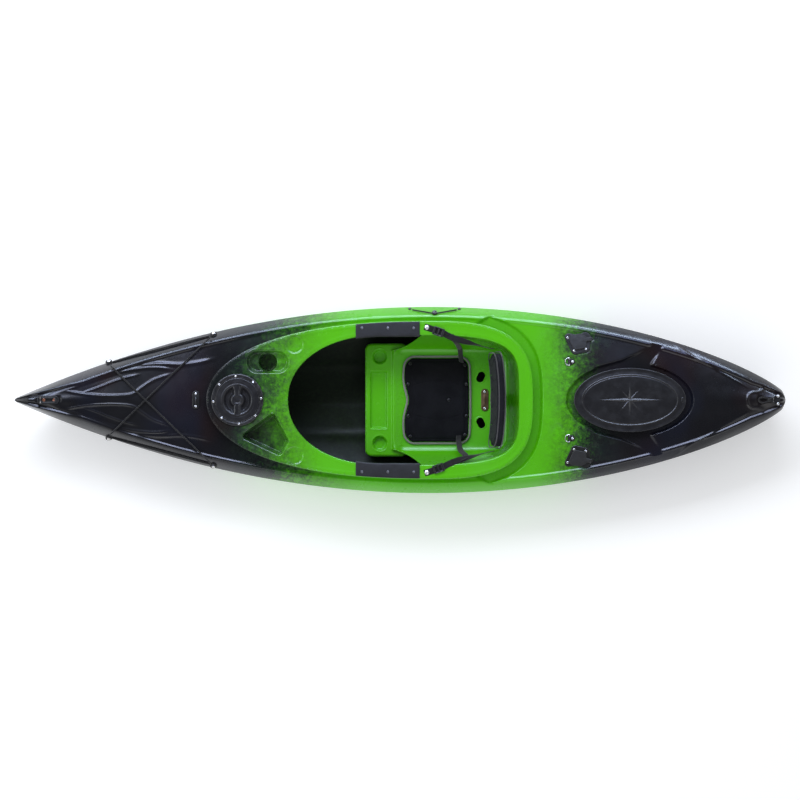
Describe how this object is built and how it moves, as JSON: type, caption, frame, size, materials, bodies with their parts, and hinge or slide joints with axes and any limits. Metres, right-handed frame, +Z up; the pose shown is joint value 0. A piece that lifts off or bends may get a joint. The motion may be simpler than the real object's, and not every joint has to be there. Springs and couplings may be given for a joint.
{
  "type": "sit-inside recreational kayak",
  "caption": "One-piece moulded sit-inside kayak with a padded seat, tilting backrest, console with day hatch, oval stern hatch, rod holders and deck rigging.",
  "frame": {"origin": "midships on the centreline, on the underside of the keel strip", "axes": "+X towards the stern, +Y to starboard, +Z up"},
  "size_m": [3.05, 0.7398, 0.3247],
  "materials": {
    "hull_plastic": "gloss rotomoulded polyethylene, lime green amidships flecked into black at both ends",
    "closed_cell_foam": "matt closed-cell polyethylene foam",
    "black_plastic": "satin moulded nylon",
    "hatch_plastic": "satin moulded polypropylene",
    "seal_rubber": "soft black rubber",
    "cap_rubber": "smooth black rubber",
    "stainless": "stainless steel fasteners and rings",
    "brass": "plain brass",
    "pad_fabric": "black knitted fabric over foam with grey edge binding",
    "backrest_fabric": "black quilted fabric over foam",
    "webbing": "black polypropylene webbing",
    "shock_cord": "black braided shock cord",
    "sleeve_foam": "black foam sleeve with a fine skin"
  },
  "bodies": {
    "hull": {"hull_moulding": "hull_plastic", "stern_bulkhead": "closed_cell_foam", "bow_float": "closed_cell_foam", "seat_support_foam": "closed_cell_foam", "day_hatch_gasket": "seal_rubber", "day_hatch_ring": "hatch_plastic", "day_hatch_screws": "stainless", "accessory_inserts": "brass", "seat_pad": "pad_fabric", "seat_pad_rivets": "black_plastic", "backrest_bracket": "stainless", "backrest_bracket_screws": "stainless", "backrest_strap_port": "webbing", "backrest_strap_starboard": "webbing", "strap_buckles": "black_plastic", "strap_anchor_screws": "stainless", "thigh_pad_port": "sleeve_foam", "thigh_pad_starboard": "sleeve_foam", "thigh_pad_screws": "stainless", "bow_bungee": "shock_cord", "bungee_eyes": "black_plastic", "bungee_eye_screws": "stainless", "bow_pad_eye": "black_plastic", "bow_pad_eye_screws": "stainless", "bow_handle_base": "black_plastic", "bow_handle_screws": "stainless", "stern_handle_base": "black_plastic", "stern_handle_screws": "stainless", "rod_holder_port": "black_plastic", "rod_holder_starboard": "black_plastic", "rod_holder_screws": "stainless", "tie_ring_bases": "black_plastic", "tie_ring_screws": "stainless", "paddle_cord": "shock_cord", "paddle_cord_button": "black_plastic", "paddle_cord_eyes": "black_plastic", "foot_rail_port": "black_plastic", "foot_rail_starboard": "black_plastic", "foot_rail_bolts": "stainless"},
    "backrest": {"backrest": "backrest_fabric", "backrest_hinge_strap": "webbing"},
    "day_hatch_seal": {"day_hatch_seal": "seal_rubber"},
    "day_hatch_lid": {"day_hatch_lid": "hatch_plastic"},
    "stern_hatch_lid": {"stern_hatch_lid": "hatch_plastic", "stern_hatch_seal": "seal_rubber"},
    "rod_cap_port": {"rod_cap_port": "cap_rubber"},
    "rod_cap_starboard": {"rod_cap_starboard": "cap_rubber"},
    "tie_ring_port": {"tie_ring_port": "stainless"},
    "tie_ring_starboard": {"tie_ring_starboard": "stainless"},
    "bow_handle": {"bow_handle": "black_plastic"},
    "stern_handle": {"stern_handle": "black_plastic"},
    "foot_pedal_port": {"foot_pedal_port": "black_plastic"},
    "foot_pedal_starboard": {"foot_pedal_starboard": "black_plastic"}
  },
  "joints": [
    {"name": "backrest_tilt", "type": "hinge", "parent": "hull", "child": "backrest", "pos_m": [0.364, 0, 0.1], "axis": [0, 1, 0], "range_deg": [-55, 4]},
    {"name": "day_hatch_lift", "type": "slide", "parent": "hull", "child": "day_hatch_seal", "axis": [0, 0, 1], "range_m": [0, 0.06]},
    {"name": "day_hatch_twist", "type": "hinge", "parent": "day_hatch_seal", "child": "day_hatch_lid", "pos_m": [-0.641, 0, 0.297], "axis": [0, 0, 1], "range_deg": [0, 90]},
    {"name": "stern_hatch_lift", "type": "slide", "parent": "hull", "child": "stern_hatch_lid", "axis": [0, 0, 1], "range_m": [0, 0.08]},
    {"name": "rod_cap_port_hinge", "type": "hinge", "parent": "hull", "child": "rod_cap_port", "pos_m": [0.75508, -0.24195, 0.25259], "axis": [0.236, 0.96, 0.1508], "range_deg": [0, 110]},
    {"name": "rod_cap_starboard_hinge", "type": "hinge", "parent": "hull", "child": "rod_cap_starboard", "pos_m": [0.75508, 0.24195, 0.25259], "axis": [-0.236, 0.96, -0.1508], "range_deg": [0, 110]},
    {"name": "tie_ring_port_hinge", "type": "hinge", "parent": "hull", "child": "tie_ring_port", "pos_m": [0.67004, -0.15153, 0.26439], "axis": [0.0008, 0.9947, 0.1026], "range_deg": [0, 120]},
    {"name": "tie_ring_starboard_hinge", "type": "hinge", "parent": "hull", "child": "tie_ring_starboard", "pos_m": [0.67004, 0.15153, 0.26439], "axis": [-0.0008, 0.9947, -0.1026], "range_deg": [0, 120]},
    {"name": "bow_handle_hinge", "type": "hinge", "parent": "hull", "child": "bow_handle", "pos_m": [-1.41536, 0, 0.3136], "axis": [0, -1, 0], "range_deg": [0, 100]},
    {"name": "stern_handle_hinge", "type": "hinge", "parent": "hull", "child": "stern_handle", "pos_m": [1.47271, 0, 0.29011], "axis": [0, 1, 0], "range_deg": [0, 110]},
    {"name": "foot_pedal_port_slide", "type": "slide", "parent": "hull", "child": "foot_pedal_port", "axis": [0.9673, -0.2466, -0.0593], "range_m": [-0.14, 0.14]},
    {"name": "foot_pedal_starboard_slide", "type": "slide", "parent": "hull", "child": "foot_pedal_starboard", "axis": [0.9673, 0.2466, -0.0593], "range_m": [-0.14, 0.14]}
  ]
}
